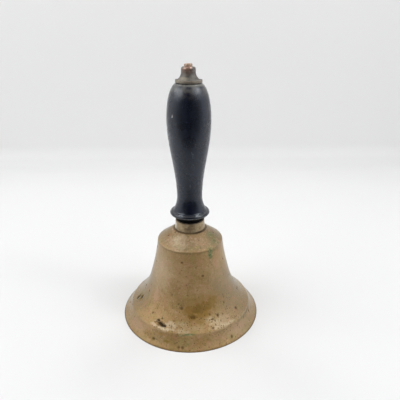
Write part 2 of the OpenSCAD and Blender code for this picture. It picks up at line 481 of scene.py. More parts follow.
lens = bpy.data.cameras.new("camera")
lens.lens = LENS
lens.sensor_width = LENS
camera = placed("camera", lens)
camera.location = CAMERA_AT
camera.rotation_mode = "XYZ"
camera.rotation_euler = (math.radians(90 - CAMERA_DOWN), 0.0, math.radians(-CAMERA_RIGHT))
bpy.context.scene.camera = camera


# Bell

CASTING_STEP = 0.56


def nearest(profile, point):
    return int(np.abs(profile - np.array(point)).sum(1).argmin())


flare = bow(RUN_OUT, RIDGE, FLARE_BOW, CASTING_STEP)
bevel = bow(RIDGE, RIM, LIP_BOW, CASTING_STEP)
outer = joined(
    straight((HOLE_R, CROWN_UNDER), (HOLE_R, CROWN_H), 3),
    straight((HOLE_R, CROWN_H), SEAT, 3),
    straight(SEAT, SHOULDER, CASTING_STEP)[:-2],
    soft(SEAT, SHOULDER, RUN_OUT, CASTING_EDGE),
    bow(SHOULDER, RUN_OUT, WAIST_BOW, 0.58)[2:],
    flare[:-2],
    soft(flare[-3], RIDGE, bevel[2], CASTING_EDGE),
    bevel[2:-1],
    soft(bevel[-2], RIM, RIM_IN, RIM_EDGE))
inner = joined(
    straight(RIM, RIM_IN, 1.2)[1:-1],
    soft(RIM, RIM_IN, RIDGE_IN, RIM_EDGE),
    straight(RIM_IN, RIDGE_IN, 2.2)[1:],
    bow(RUN_OUT_IN, RIDGE_IN, FLARE_BOW, 2.0)[::-1],
    bow(SHOULDER_IN, RUN_OUT_IN, WAIST_BOW, 2.8)[::-1],
    straight(SHOULDER_IN, SEAT_IN, 2.2),
    straight(SEAT_IN, (HOLE_R, CROWN_UNDER), 3)[:-1])
bell_form = Turning(np.concatenate([outer, inner]), BELL_SIDES, grain=2.2)
first_cone = nearest(outer, SEAT)
outside = (first_cone, len(outer))
within = (len(outer), len(outer) + len(inner))
shown = np.zeros((within[1], 1))
shown[first_cone:len(outer)] = 1

seat_run = bell_form.run[first_cone, 0]
rim_run = bell_form.run[len(outer) - 1, 0]
from_ridge = bell_form.run - bell_form.run[nearest(outer, RIDGE), 0]
from_shoulder = bell_form.run - bell_form.run[nearest(outer, SHOULDER), 0]
from_seat = bell_form.run - seat_run
slow = bell_form.cloud(14, 3, 3.1)
broad = bell_form.cloud(32, 3, 9.4)

# Pits in the casting: turn, height, half width, half height, depth
PITS = [
    (-44, 16.8, 0.7, 0.7, 0.2), (-17.8, 16.4, 0.8, 0.7, 0.2), (-18.9, 13.3, 0.8, 0.8, 0.2),
    (-15.4, 18.5, 0.6, 0.6, 0.15), (-15.2, 26.8, 0.8, 0.8, 0.2), (-12.2, 26.7, 0.6, 0.7, 0.2),
    (-11, 24.4, 1.6, 1.5, 0.5), (-13.5, 59.4, 1.1, 0.9, 0.3), (18.4, 48.3, 1.3, 0.9, 0.35),
    (-5.7, 42, 0.8, 0.7, 0.15), (-6.4, 48.6, 0.7, 0.6, 0.12), (8.3, 55.6, 0.6, 0.6, 0.12),
    (-4.1, 34.3, 0.7, 0.6, 0.12), (-14.9, 38.9, 0.7, 0.7, 0.12), (-25.1, 33, 0.8, 0.7, 0.2),
    (10.7, 18.1, 0.7, 0.7, 0.2), (20.9, 19.6, 0.9, 0.8, 0.2), (22.7, 16.5, 1.6, 0.6, 0.25),
    (29.6, 17.8, 1, 1.4, 0.35), (35.9, 17.4, 0.7, 0.7, 0.2), (55.9, 15.5, 1.3, 1.3, 0.35),
    (43, 23.1, 0.8, 0.7, 0.2), (44.7, 19.9, 0.6, 0.6, 0.15), (20.6, 12.2, 1, 0.8, 0.25),
    (30.8, 14.5, 0.6, 0.6, 0.15), (46.2, 26.6, 0.6, 0.6, 0.15), (-32.4, 3.5, 1.1, 1, 0.25),
    (-10, 2.3, 1.1, 1.1, 0.35), (-7, 2.5, 1.2, 1.1, 0.35), (35.7, 3.4, 1.1, 1.4, 0.3),
    (56.9, 7.8, 0.7, 0.7, 0.15), (-63.1, 7.5, 0.8, 0.7, 0.15), (-65.7, 73, 0.9, 0.8, 0.2),
    (-54, 76.2, 0.8, 0.7, 0.2), (-52.2, 70.5, 0.5, 0.5, 0.12), (21.4, 73.4, 0.6, 0.5, 0.12),
    (19.3, 69.7, 0.6, 0.4, 0.12), (21, 15.2, 0.8, 0.5, 0.2), (24.6, 15.4, 0.6, 0.8, 0.2),
    (-35.5, 14.2, 0.8, 0.6, 0.2)]

# More pits where the photograph doesn't show the bell
HIDDEN_TRIES = 150
HIDDEN_FROM = 66
hidden_pits = []
draw = np.random.default_rng(SEED)
for _ in range(HIDDEN_TRIES):
    turn = draw.uniform(-180, 180)
    low_or_high = [draw.uniform(1.5, 30), draw.uniform(30, 76)]
    height = draw.choice(low_or_high, p=[0.62, 0.38])
    size = draw.uniform(0.4, 1.15) ** 1.6
    if abs(turn) > HIDDEN_FROM:
        taller = 0.35 + 0.5 * size * draw.uniform(0.7, 1.3)
        hidden_pits.append((turn, height, 0.35 + 0.5 * size, taller, 0.1 + 0.17 * size))

pits = np.zeros_like(bell_form.r)
for *size, depth in PITS + hidden_pits:
    dent = bell_form.spot(*size, 0.25, outside) * shown
    bell_form.lift -= depth * dent
    pits = np.maximum(pits, dent * min(0.88, 0.35 + 2.2 * depth))

# Gouges with raised lips, the largest over the ridge at the front left: numbers as for the pits
GOUGES = [
    (-30.2, 13.3, 3.9, 1.8, 1.1), (-26.2, 12.8, 2.4, 1.2, 0.8), (-33.8, 14.8, 1.3, 1, 0.45),
    (-35.8, 13.7, 0.8, 0.7, 0.35), (-30.6, 16.1, 0.9, 0.6, 0.3), (132, 12.5, 2.6, 1.2, 0.7),
    (-80.9, 15.1, 1.7, 2.4, 0.45), (-74.8, 17.9, 1.6, 2.4, 0.45)]
GOUGE_LIP = 0.12
for turn, height, across, along, depth in GOUGES:
    dent = bell_form.spot(turn, height, across, along, 0.45, outside) * shown
    lip = bell_form.spot(turn, height, across * 1.7, along * 2.1, 0.5, outside) * shown - dent
    bell_form.lift += GOUGE_LIP * np.clip(lip, 0, 1) - depth * dent
    pits = np.maximum(pits, blur_step(dent, 0.35, 0.85))

# The casting's unevenness, kept off the seat and the rim, and a ridge worn down in places
from_ends = np.minimum(blur_step(from_seat, 0, 3), 1 - blur_step(bell_form.run, rim_run - 3, rim_run))
bell_form.lift += from_ends * shown * (0.05 * slow + 0.09 * broad)
worn_down = np.clip(bell_form.cloud(3.5, 2, 5.2) + 0.1, 0, 1)
bell_form.lift -= shown * 0.22 * hump(from_ridge, 0.7) * worn_down

# Marks of one kind each: turn, height, half width, half height, strength
VERDIGRIS = [
    (35.4, 68.3, 2.6, 0.9, 0.55), (34.6, 64.6, 2.6, 4.4, 0.42), (36.2, 65.8, 2.4, 1.9, 0.9),
    (33.6, 63.4, 2, 2.4, 0.95), (35.4, 61.2, 2, 1.6, 0.75), (37.5, 62.6, 3, 3.4, 0.26),
    (35, 57.6, 2.2, 2.8, 0.2), (41, 67, 1.6, 0.9, 0.3), (62, 74.2, 3.6, 3.2, 0.5),
    (58, 70.6, 3.4, 2.2, 0.48), (74, 71.5, 3, 3.4, 0.25), (46, 70.4, 2.4, 1.8, 0.2), (61, 68.6, 2, 0.9, 0.4),
    (-73.9, 66.2, 3, 0.9, 0.3), (-62.7, 70.4, 1.4, 0.9, 0.3), (-26, 4.6, 9, 3, 0.2), (-6, 5.2, 8, 3.2, 0.1),
    (-2, 10.4, 4.2, 0.9, 0.75), (-8, 9.6, 2.4, 0.8, 0.55), (-82.1, 20.2, 3.6, 2.6, 0.3),
    (-79, 17.4, 6, 4.4, 0.2), (-66, 22.5, 3, 2.6, 0.16), (58, 45, 1, 4.5, 0.3), (150, 66.8, 5, 1.4, 0.45),
    (154, 63.6, 2.8, 3.4, 0.4), (-140, 9.8, 5.5, 0.9, 0.6), (105, 10, 6, 0.8, 0.5),
    (-155, 71.2, 2.6, 1.8, 0.5), (-118, 28, 3, 4, 0.25)]
STAINS = [
    (1.8, 19.6, 3, 2.2, 1), (1.4, 19.9, 4.6, 3.6, 0.82), (0, 23.4, 7, 4.6, 0.65), (9, 24, 8, 5.4, 0.85),
    (19, 24.8, 8, 4.8, 0.8), (28, 28.2, 5, 4, 0.65), (13, 20.6, 8, 3.4, 0.7), (18, 26.5, 19, 9, 0.3),
    (9, 16.6, 5, 2.4, 0.45), (-35, 4.6, 9, 3.2, 0.4), (-20.3, 4.6, 3.4, 1.4, 0.8), (-27, 8, 4, 1.2, 0.4),
    (-78, 17, 5.5, 3.8, 0.75), (-66, 73, 4.5, 3.6, 0.35), (-24.5, 71, 1, 0.8, 0.45),
    (-22.5, 73.4, 1.4, 1.2, 0.35), (-27.5, 73.2, 1, 1.4, 0.35), (62, 71.4, 5, 3.2, 0.3),
    (9, 5.5, 7, 3.4, 0.25), (128, 22, 9, 6, 0.6), (-128, 40, 8, 9, 0.4), (172, 14, 7, 3, 0.6),
    (-165, 52, 5, 8, 0.35)]
COPPERY = [
    (-58.5, 72.2, 5, 3.6, 0.7), (-49.5, 28.4, 4.5, 6.5, 0.8), (-54.5, 5.6, 9, 4, 0.7),
    (48.2, 53.4, 3.2, 3.6, 0.55), (47.4, 5.8, 10, 4, 0.6), (-19.6, 73.5, 4, 4.5, 0.6), (12, 72.5, 8, 4, 0.5),
    (14, 3.6, 7, 3, 0.2), (-30, 5, 8, 3.5, 0.4), (-66, 72.6, 4, 4, 0.5), (95, 40, 6, 9, 0.5),
    (-110, 6, 12, 3.5, 0.5), (165, 34, 9, 6, 0.5), (140, 5, 10, 4, 0.4)]
# Rubbed patches that are partly painted highlights: the pale patches on the ridge, the front of the flare and
# the crown's left paint light on the metal as well as wear
RUBBED_AND_LIT = [
    (-20.6, 15.2, 3.2, 1.6, 0.6), (-17, 14, 3.4, 1.8, 0.7), (-19.5, 12.2, 4.6, 1.1, 0.8),
    (-25, 11.4, 4.6, 1, 0.9), (20, 17, 3.4, 2.2, 0.42), (24, 14.6, 5.4, 2.8, 0.46), (27, 12.3, 7, 1.6, 0.5),
    (37, 11.6, 7, 1.2, 0.6), (-9, 11.8, 6, 1.8, 0.45), (-9, 15, 4, 2.4, 0.3), (31, 11.9, 8, 1.5, 0.4),
    (-48, 45, 9, 15, 0.25), (-21, 75.4, 3.4, 2.2, 0.38), (-32, 73, 3.2, 4.2, 0.5), (-24, 72, 6, 5.4, 0.34),
    (-14.6, 70.4, 4.4, 2.8, 0.34), (0, 13.2, 11, 1.9, 0.18), (33, 11.6, 10, 1.4, 0.6),
    (34, 14.4, 8, 3.6, 0.22), (-27, 11.8, 6, 1.2, 0.8), (-21.5, 13.8, 4.6, 2.4, 0.75),
    (-37, 11.8, 3.6, 1.3, 0.75), (-35.5, 14, 2.2, 1.2, 0.5), (120, 13, 8, 1.2, 0.5),
    (-150, 12.6, 9, 1.2, 0.5)]


def patches(places, rough):
    cover = np.zeros_like(bell_form.r)
    for *size, strength in places:
        cover = np.maximum(cover, strength * bell_form.spot(*size, rough, outside))
    return cover * shown


def flank(turn, half, low, high):
    """A broad soft patch round this turn, between two heights."""
    sides = 1 - blur_step(bell_form.degrees_from(turn), half * 0.4, half)
    return sides * blur_step(bell_form.z, low - 5, low + 5) * (1 - blur_step(bell_form.z, high - 8, high + 8))


def breath(turn, half, height, tall):
    """A faint patch without an edge, this many degrees and millimetres wide each way."""
    return shown * hump(bell_form.degrees_from(turn), half) * hump(bell_form.z - height, tall)


under_shoulder = 0.14 * hump(from_shoulder - 1.5, 0.8) * blur_step(slow, 0.15, 0.5)
verdigris = np.maximum(patches(VERDIGRIS, 0.3), shown * under_shoulder)
stains = patches(STAINS, 0.3)
coppery = patches(COPPERY, 0.55)

# Painted highlights, partly edge wear: pale lines along the ridge, strongest at the front, and along the
# shoulder, strongest on the left
at_front = bell_form.toward(12)
edges = (0.1 + 0.9 * at_front) * hump(from_ridge, 0.75)
edges += (0.2 + bell_form.toward(-55)) * hump(from_shoulder + 0.1, 0.6)
uneven = 0.24 + 0.42 * np.clip(bell_form.grain + slow, -1, 1)
rub_and_highlight = np.maximum(patches(RUBBED_AND_LIT, 0.5), shown * edges * uneven)

# Where the ball has struck, inside at both ends of its swing: height, half width, half height, strength
STRIKES = [(13.5, 4.5, 3, 0.9), (17, 3, 2.2, 0.5)]
for turn in (90, -90):
    for *size, strength in STRIKES:
        struck = strength * bell_form.spot(turn, *size, 0.4, within)
        rub_and_highlight = np.maximum(rub_and_highlight, (1 - shown) * struck)

# Dirt along the edges
patchy = np.clip(0.5 + slow + 0.5 * bell_form.grain, 0, 1)
grime_and_dark_patches = 0.26 * (1 - 0.8 * bell_form.toward(72, 3)) * hump(from_shoulder - 1.4, 0.7)
grime_and_dark_patches += 0.4 * patchy * (1 - 0.85 * bell_form.toward(-50, 6)) * hump(from_ridge - 1.4, 0.7)
grime_and_dark_patches += 0.75 * hump(bell_form.run - rim_run + 0.3, 0.8)
seat_line = (0.7 + 0.3 * at_front) * hump(from_seat - 0.3, 0.46 + 0.28 * at_front, 4)
grime_and_dark_patches = np.maximum(shown * grime_and_dark_patches, seat_line)

# Faint darker patches, and pale patches of painted glow, partly bloom: strength, turn, degrees each way,
# height, millimetres each way
DULL = [
    (0.22, 64, 38, 73, 5), (0.06, -62, 26, 73, 5), (0.17, 66, 26, 12.5, 5), (0.17, -82, 18, 12.5, 5),
    (0.05, 14, 14, 37, 6)]
BLOOM_AND_GLOW = [
    (0.12, -34, 12, 73, 4), (0.05, -10, 60, 73, 4), (0.10, 46, 32, 5, 5), (0.08, -56, 22, 5, 5),
    (0.07, 46, 26, 48, 14)]
# The darker patches go into the same mark as the dirt along the edges
for strength, *place in DULL:
    grime_and_dark_patches += strength * breath(*place)
# Painted glow, partly a bloom of the patina: pale light on the upper left flank, and in patches on the crown,
# the waist and the lip
bloom_and_glow = 0.17 * breath(-60, 32, 52, 20) * blur_step(from_shoulder, -0.5, 0.5)
for strength, *place in BLOOM_AND_GLOW:
    bloom_and_glow += strength * breath(*place)

# The darker front of the lip
lip_tone = shown * blur_step(from_ridge, 0.5, 7.0) * (0.25 + 0.75 * hump(bell_form.degrees_from(-4), 30))

# A grey film over the crown and on these flanks, where it also paints the grey reflection seen at the bell's
# sides: strength, turn, half width in degrees, two heights
FILM_AND_SHEEN = [
    (1.0, 66, 52, 8, 46), (0.8, -88, 40, 10, 40), (1.0, 72, 46, 66, 84), (0.8, 76, 46, -10, 6),
    (0.6, -86, 38, -10, 6), (0.7, 160, 45, 15, 60), (0.6, -150, 40, 5, 30)]
film_and_sheen = 0.7 * (1 - blur_step(from_shoulder, -2, 0))
for strength, *place in FILM_AND_SHEEN:
    film_and_sheen = np.maximum(film_and_sheen, strength * flank(*place))
film_and_sheen = shown * film_and_sheen * np.clip(0.75 + 0.5 * broad + 0.3 * slow, 0, 1)

bell_form.mark("marks", pits, verdigris, stains)
bell_form.mark("tones", coppery, rub_and_highlight, grime_and_dark_patches)
bell_form.mark("sides", 1 - shown, lip_tone, film_and_sheen)
bell_form.mark("bloom_glow", bloom_and_glow, bloom_and_glow, bloom_and_glow)
bell = bell_form.mesh("bell_casting")

brass = Paint("aged_brass")
pit, green, stain = brass.marks("marks")
copper, bright, dirt_and_dark_patches = brass.marks("tones")
inside, low, grey = brass.marks("sides")
bloom_and_glow_share, _, _ = brass.marks("bloom_glow")
level = brass.height()
large = brass.noise(26, 4, 0.6, 0.4)
middle = brass.noise(6.5, 5, 0.62, 0.3)
fine = brass.noise(1.3, 3, 0.6)
drawn = brass.noise(2.4, 3, 0.6, place=brass.stretch(1, 1, 0.16))
mottle = brass.noise(3.2, 4, 0.6, 0.5)
tint = brass.noise(5.5, 3, 0.6, 0.5, brass.stretch(1.2, 1.2, 0.9))
curds = brass.noise(1.8, 3, 0.6, 0.6)
scuffs = brass.noise(0.9, 3, 0.6)
lathe = brass.noise(0.9, 2, 0.5, place=brass.stretch(0.05, 0.05, 1))
on_crown = brass.range(level, 67.2 * MM, 69.0 * MM)

specks = brass.most(
    brass.times(brass.specks(2.6, 0.17, 0.42), 0.75),
    brass.times(brass.specks(1.4, 0.22, 0.28), 0.5))
specks = brass.times(specks, brass.range(large, 0.35, 0.62, 0.45, 1.0))
pricks = brass.times(brass.specks(1.9, 0.30, 0.6), brass.range(level, 36 * MM, 20 * MM, 0.0, 0.75))
dark = brass.most(pit, brass.most(specks, pricks))
dull = brass.most(brass.most(green, dark), brass.times(dirt_and_dark_patches, 0.6))

brown = brass.ramp(stain, (0.7, (124, 90, 2)), (1.0, (88, 62, 12)))
crust = brass.ramp(fine, (0.35, (70, 84, 48)), (0.5, (92, 108, 68)), (0.66, (138, 148, 110)))
tone = brass.ramp(
    brass.blend(0.5, large, middle),
    (0.30, (126, 99, 57)), (0.45, (148, 119, 74)), (0.58, (161, 131, 90)), (0.74, (175, 148, 110)))
tone = brass.coats(
    tone,
    (brass.range(drawn, 0.52, 0.72, 0, 0.3), (134, 110, 70)),
    (brass.range(mottle, 0.53, 0.7, 0, 0.35), (172, 138, 108)),
    (brass.range(mottle, 0.46, 0.3, 0, 0.35), (124, 104, 58)),
    (brass.range(fine, 0.54, 0.72, 0, 0.5), (182, 156, 124)),
    (brass.range(fine, 0.45, 0.3, 0, 0.55), (112, 88, 52)),
    ((copper, 0.6), (178, 141, 115)),
    ((low, 0.4), (128, 98, 56)),
    # Grey film, and on the flanks a painted grey reflection
    ((grey, 0.6), (120, 109, 88)),
    (brass.range(tint, 0.52, 0.7, 0, 0.5), (167, 122, 92)),
    (brass.range(tint, 0.48, 0.3, 0, 0.5), (143, 131, 78)),
    # Painted glow, partly pale bloom
    (bloom_and_glow_share, (200, 194, 180)),
    ((on_crown, brass.range(curds, 0.46, 0.34, 0, 0.5)), (122, 104, 80)),
    ((on_crown, brass.range(curds, 0.55, 0.68, 0, 0.5)), (196, 170, 146)),
    ((low, brass.range(mottle, 0.47, 0.34, 0, 0.5)), (104, 88, 44)),
    ((low, brass.range(mottle, 0.54, 0.66, 0, 0.45)), (176, 140, 112)),
    ((stain, brass.range(middle, 0.25, 0.6, 0.7, 1.0)), brown),
    ((inside, 0.75), (104, 84, 54)),
    # Dirt, and the darker patches
    ((dirt_and_dark_patches, brass.range(middle, 0.3, 0.65, 0.75, 1.0)), (46, 30, 8)),
    # Pale rubbed metal and painted highlights
    ((bright, brass.range(scuffs, 0.4, 0.6, 0.35, 0.8)), (205, 190, 164)),
    (green, crust),
    ((dark, 0.9), (70, 44, 4)),
    (brass.range(pit, 0.9, 1.0, 0.0, 0.85), (36, 23, 2)))
brass.set(
    Base_Color=tone,
    Metallic=brass.range(dull, 0, 1, 0.3, 0.1),
    Specular_IOR_Level=0.6,
    Specular_Tint=(1.0, 0.84, 0.56, 1.0),
    Sheen_Weight=0.72,
    Sheen_Roughness=0.35,
    Sheen_Tint=(0.86, 0.94, 1.0, 1.0),
    Roughness=brass.plus(brass.range(middle, 0.3, 0.7, 0.48, 0.60), brass.times(dull, 0.3)),
    Normal=brass.relief((middle, 0.12), (fine, 0.05), (dark, -0.25), (brass.times(lathe, inside), 0.08)))
wear(bell, brass)
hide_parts("bell")
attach(bell, "frame")


# Handle

# Heights over which the polish, the gloss at the top, and the dust with painted light on the top come and go,
# in millimetres
POLISH_FROM = (90.0, 90.6)
POLISH_TO = (96, 104)
GLOSS_FROM = (174, 182)
DUST_AND_TOP_LIGHT_FROM = (178, 188)

# The bead's upper edge, where a light line is painted, as a radius and a height
BEAD_EDGE = (14.7, 92.25)

wood_run = joined(
    straight((HANDLE_BORE_R, TENON_H), (TENON_R, TENON_H), 3),
    straight((TENON_R, TENON_H), (TENON_R, FERRULE_TOP), 3),
    straight((TENON_R, FERRULE_TOP), (COLLAR_R - 0.2, FERRULE_TOP), 0.5),
    straight((COLLAR_R, FERRULE_TOP + 0.2), (COLLAR_R, BEAD_FOOT_H - 0.1), 0.4),
    straight((COLLAR_R + 0.1, BEAD_FOOT_H), (BEAD_FOOT[0] - 0.1, BEAD_FOOT_H), 0.3),
    bead(BEAD_FOOT, BEAD_TOP, BEAD_SWELL, 26),
    cove(BEAD_TOP, NECK, 14),
    swell(NECK, BELLY, 70),
    dome(BELLY, TOP, 40),
    straight(TOP, (HANDLE_BORE_R, HANDLE_TOP), 2),
    straight((HANDLE_BORE_R, HANDLE_TOP), (HANDLE_BORE_R, TENON_H), 14)[:-1])
wood_form = Turning(wood_run, HANDLE_SIDES, grain=1.5)
wood_r, wood_z = wood_form.r, wood_form.z
outer_wood = (wood_r > HANDLE_BORE_R + 0.5) & (wood_z > FERRULE_TOP + 0.1) & (wood_z < HANDLE_TOP - 0.1)
wood_form.lift += outer_wood * (0.06 * wood_form.cloud(18, 2, 4.0) + 0.02 * wood_form.cloud(4, 2, 1.0))
wood_side = (0, int(wood_run[:, 1].argmax()) + 2)

# Nicks down to the pale wood, and shallow dents: turn, height, half width, half height, depth
NICKS = [
    (-45, 168.6, 0.28, 0.9, 0.2), (-46.2, 167.3, 0.26, 0.8, 0.2), (128, 140, 0.5, 1.1, 0.25),
    (-160, 98.2, 0.6, 0.5, 0.2)]
DENTS = [
    (-40, 163, 2.2, 2.6, 0.12), (25, 128, 1.8, 2.4, 0.1), (95, 172, 2.5, 2, 0.15), (-115, 150, 2, 3, 0.14),
    (170, 118, 1.6, 2, 0.1)]
nicked = wood_form.press(NICKS, 0.3, outer_wood, wood_side)
wood_form.press(DENTS, 0.3, outer_wood, wood_side)
bead_rows = (wood_z > BEAD_FOOT_H - 0.05) & (wood_z < BEAD_TOP[1] + 0.05)
on_bead = outer_wood & bead_rows & (wood_r > BEAD_TOP[0] - 0.05)
at_right = wood_form.toward(35)
# Painted highlight: a light line on the wood's rim under the cap, more on the right
lit_rim_under_cap = (0.65 + 0.35 * at_right) * hump(wood_z - HANDLE_TOP + 1.0, 0.45 + 0.4 * at_right)
# Painted highlights, partly worn edges: light lines round the bead's middle, along its upper edge and round
# the rim under the cap
rub_and_highlight_wood = np.maximum.reduce([
    0.4 * on_bead * hump(wood_z - BEAD_FOOT_H - 1.75, 0.35),
    0.3 * on_bead * hump(wood_form.length_from(*BEAD_EDGE), 0.4),
    outer_wood * lit_rim_under_cap])
polished = blur_step(wood_z, *POLISH_FROM) * (1 - blur_step(wood_z, *POLISH_TO))
polished = outer_wood * np.maximum(polished, 0.15 * blur_step(wood_z, *GLOSS_FROM))
# Dust, and painted light: a pale coat that lights the top of the handle
dust_and_top_light = outer_wood * blur_step(wood_z, *DUST_AND_TOP_LIGHT_FROM) * blur_step(wood_form.cloud(4.5, 3, 8.0), -0.6, 0.5)
in_shade = (wood_z > HANDLE_TOP - 0.45) & (np.abs(np.sin(wood_form.turn + 0.1)) < 0.84)
# Painted shade: the faces in the recess under the bead and under the cap's flange take a near-black paint
hollow = outer_wood & ((wood_z < BEAD_FOOT_H + 0.85) | in_shade)
wood_form.mark("marks", nicked, rub_and_highlight_wood, dust_and_top_light)
wood_form.mark("finish", polished, polished, polished)
handle = wood_form.mesh("handle_turning", second=hollow & np.roll(hollow, -1, 0))

ebony = Paint("ebonised_wood")
nick, rub_and_glint, dust_and_top_glow = ebony.marks("marks")
gloss, _, _ = ebony.marks("finish")
pores = ebony.noise(0.9, 4, 0.6, place=ebony.stretch(1, 1, 0.06))
streaks = ebony.noise(5, 3, 0.5, place=ebony.stretch(1, 1, 0.12))
cloudy = ebony.noise(11, 4, 0.6, 0.3)
smears = ebony.noise(2.2, 4, 0.65, 0.6)
hair = ebony.noise(1.1, 2, 0.5, 1.2, ebony.stretch(0.5, 0.5, 0.10))
hair = ebony.times(ebony.range(hair, 0.665, 0.70), ebony.range(cloudy, 0.5, 0.62))
black = ebony.ramp(
    ebony.blend(0.5, streaks, cloudy), (0.34, (6, 9, 21)), (0.52, (10, 14, 31)), (0.70, (17, 22, 43)))
black = ebony.coats(
    black,
    (ebony.range(pores, 0.6, 0.78, 0, 0.4), (34, 33, 36)),
    # Painted highlights, partly worn edges
    ((rub_and_glint, 0.8), (122, 120, 110)),
    # Dust and painted top light
    ((dust_and_top_glow, 0.6), (106, 103, 97)),
    ((ebony.specks(5.0, 0.055, 0.5), 0.7), (112, 104, 96)),
    (nick, (236, 232, 226)),
    ((hair, 0.5), (92, 94, 100)))
smeared = ebony.times(ebony.range(smears, 0.5, 0.75, 0, 0.10), ebony.math("SUBTRACT", 1.0, gloss))
rough = ebony.blend(gloss, ebony.range(cloudy, 0.3, 0.7, 0.24, 0.33), 0.11)
ebony.set(
    Base_Color=black,
    Specular_IOR_Level=0.58,
    Specular_Tint=(0.84, 0.91, 1.0, 1.0),
    Sheen_Weight=0.34,
    Sheen_Roughness=0.36,
    Sheen_Tint=(0.96, 0.97, 1.0, 1.0),
    Roughness=ebony.plus(rough, ebony.plus(smeared, ebony.times(dust_and_top_glow, 0.06))),
    Normal=ebony.relief((streaks, 0.035), (pores, 0.025), (hair, -0.03)))

# Painted shade: near-black paint that hardly reflects, for the shaded recesses
recess = Paint("shaded_recess_wood")
pores = recess.noise(0.9, 4, 0.6, place=recess.stretch(1, 1, 0.06))
recess.set(
    Base_Color=recess.ramp(recess.noise(2.2, 4, 0.65, 0.6), (0.35, (6, 5, 6)), (0.65, (14, 12, 12))),
    Specular_IOR_Level=0.06,
    Roughness=recess.range(pores, 0.4, 0.7, 0.6, 0.8),
    Normal=recess.relief((pores, 0.05)))
wear(handle, ebony, recess)
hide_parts("handle")
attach(handle, "frame")


# Ferrule

foot_in = (FERRULE_BORE_R, CROWN_H)
foot_out = (FERRULE_FOOT_R, CROWN_H)
top_out = (FERRULE_TOP_R, FERRULE_TOP)
top_in = (FERRULE_BORE_R, FERRULE_TOP)
band_run = joined(
    straight(foot_in, (FERRULE_FOOT_R - FERRULE_EDGE, CROWN_H), 1.0),
    soft(foot_in, foot_out, top_out, FERRULE_EDGE),
    straight(foot_out, top_out, 0.35)[2:-2],
    soft(foot_out, top_out, top_in, FERRULE_EDGE),
    straight((FERRULE_TOP_R - FERRULE_EDGE, FERRULE_TOP), top_in, 0.4),
    straight(top_in, foot_in, 1.5)[:-1])
band_form = Turning(band_run, FERRULE_SIDES, grain=1.4)
band_z = band_form.z
outer_band = (band_form.r > FERRULE_BORE_R + 0.3) & (band_z > CROWN_H + 0.5) & (band_z < FERRULE_TOP - 0.4)
band_form.lift += outer_band * (0.05 * band_form.cloud(6, 3, 2.5) + 0.025 * band_form.cloud(1.6, 2, 7.5))

# Smudged dents: turn, height, half width, half height, depth
SMUDGES = [
    (-4, 80.8, 3.2, 1.6, 0.06), (2, 82.6, 2.4, 0.9, 0.04), (96, 81, 3, 1.5, 0.06),
    (-130, 80.5, 3.4, 1.4, 0.05), (40, 79.6, 1.2, 0.7, 0.08)]
smudge = band_form.press(SMUDGES, 0.5, outer_band)
# Dirt caked at the foot and along the top edge, and painted shade across the top front under the bead
caked_and_shade = hump(band_z - CROWN_H, 0.22) + 0.8 * hump(band_z - FERRULE_TOP, 0.3)
caked_and_shade += 0.3 * band_form.toward(0) * hump(band_z - FERRULE_TOP, 1.5)
# Painted highlights, partly burnish: pale patches on the left and right sides paint light on the band
burnish_and_glint = np.maximum(
    band_form.spot(-76, 80.6, 3.4, 3.6, 0.3),
    0.45 * band_form.spot(80, 81.6, 2.6, 3.0, 0.3))
band_form.mark("marks", smudge, caked_and_shade, burnish_and_glint * outer_band)
band = band_form.mesh("ferrule_ring")

pale = Paint("worn_brass")
smear, cake_and_shade, burnish_and_glint_share = pale.marks("marks")
coarse = pale.noise(3.2, 5, 0.62, 0.4)
fine = pale.noise(0.8, 3, 0.6)
ring_lines = pale.noise(0.5, 2, 0.5, place=pale.stretch(0.04, 0.04, 1))
tone = pale.coats(
    pale.ramp(coarse, (0.32, (130, 109, 77)), (0.5, (157, 137, 105)), (0.68, (176, 159, 130))),
    (pale.range(ring_lines, 0.55, 0.75, 0, 0.35), (138, 116, 82)),
    # Burnish and painted highlights
    ((burnish_and_glint_share, 0.85), (214, 204, 186)),
    ((smear, 0.65), (112, 90, 62)),
    ((pale.specks(1.6, 0.2, 0.3), 0.5), (92, 74, 50)),
    # Caked dirt and painted shade
    ((cake_and_shade, 0.85), (62, 44, 28)))
pale.set(
    Base_Color=tone,
    Metallic=pale.range(cake_and_shade, 0, 1, 0.6, 0.1),
    Specular_IOR_Level=0.8,
    Sheen_Weight=0.35,
    Sheen_Roughness=0.3,
    Roughness=pale.plus(pale.range(coarse, 0.3, 0.7, 0.32, 0.46), pale.times(cake_and_shade, 0.3)),
    Normal=pale.relief((coarse, 0.08), (fine, 0.05), (ring_lines, 0.03)))
wear(band, pale)
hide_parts("ferrule")
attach(band, "frame")


# Finial cap

# How far its flange is bent at the sides, and the heights over which its top turns glossy, in millimetres
BENT_LEFT = 0.55
BENT_RIGHT = 0.35
BENT_IN = 0.3
GLOSSY_FROM = (197.2, 198.6)

